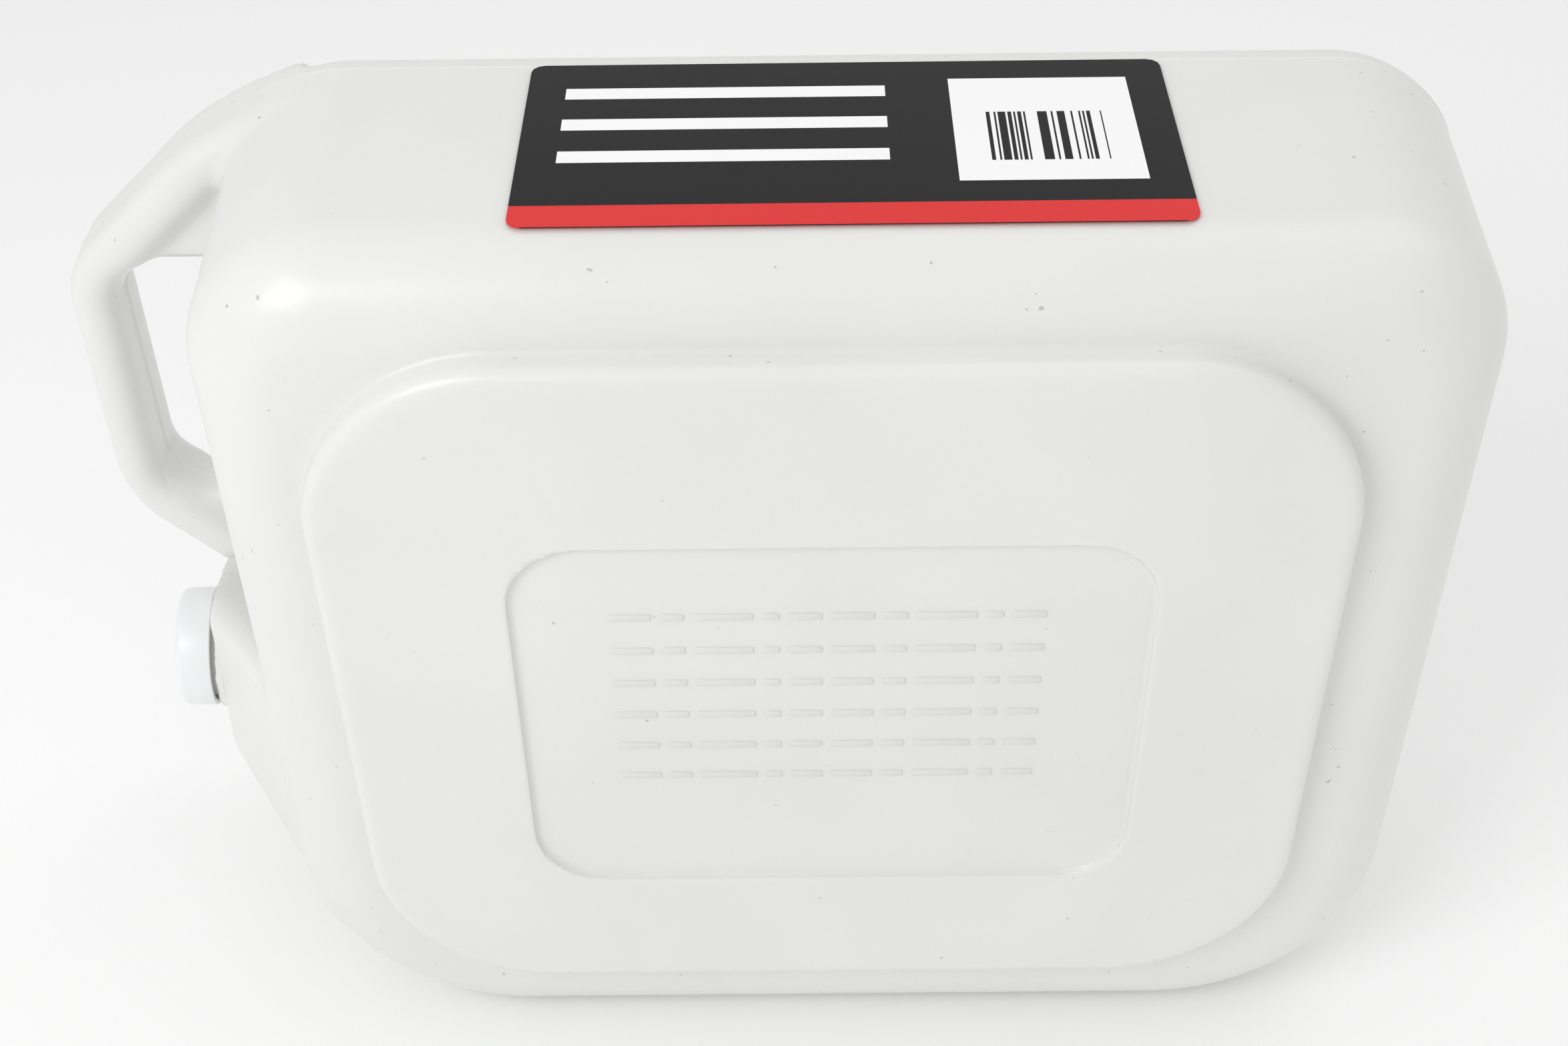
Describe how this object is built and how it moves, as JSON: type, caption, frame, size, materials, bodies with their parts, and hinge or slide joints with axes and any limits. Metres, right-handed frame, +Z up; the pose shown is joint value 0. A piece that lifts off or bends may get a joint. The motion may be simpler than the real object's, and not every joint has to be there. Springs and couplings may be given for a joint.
{
  "type": "oil drain pan",
  "caption": "Flat blow-moulded oil container with a recessed catch basin, a screw plug in the basin floor, a carrying handle and a capped pour spout.",
  "frame": {"origin": "middle of the underside of the bounding box, with the container standing on one long narrow side", "axes": "+Z up, +Y out of the open basin, -Y out of the base pad, -X towards the handle and the pour spout"},
  "size_m": [0.4502, 0.1468, 0.3361],
  "materials": {
    "polyethylene": "natural blow-moulded high-density polyethylene, satin",
    "cap_white": "white moulded polypropylene, satin gloss",
    "foam": "closed-cell polyethylene foam",
    "rubber": "black nitrile rubber",
    "label": "printed gloss label"
  },
  "bodies": {
    "container": {"container": "polyethylene", "label": "label"},
    "spout_liner": {"spout_cap_liner": "foam"},
    "spout_cap": {"spout_cap": "cap_white"},
    "drain_gasket": {"drain_gasket": "rubber"},
    "drain_plug": {"drain_plug": "cap_white"}
  },
  "joints": [
    {"name": "spout_cap_travel", "type": "slide", "parent": "container", "child": "spout_liner", "axis": [-0.9949, -0.0766, 0.0661], "range_m": [0, 0.0128]},
    {"name": "spout_cap_turn", "type": "hinge", "parent": "spout_liner", "child": "spout_cap", "pos_m": [-0.20743, 0.0501, 0.0885], "axis": [-0.9949, -0.0766, 0.0661], "range_deg": [0, 1080]},
    {"name": "drain_plug_travel", "type": "slide", "parent": "container", "child": "drain_gasket", "axis": [0, 1, 0], "range_m": [0, 0.0128]},
    {"name": "drain_plug_turn", "type": "hinge", "parent": "drain_gasket", "child": "drain_plug", "pos_m": [0.02827, -0.0214, 0.16775], "axis": [0, 1, 0], "range_deg": [0, 1080]}
  ],
  "couplings": [
    {"joint": "spout_cap_travel", "follows": "spout_cap_turn", "m_per_rad": 0.0006737},
    {"joint": "drain_plug_travel", "follows": "drain_plug_turn", "m_per_rad": 0.0006737}
  ]
}
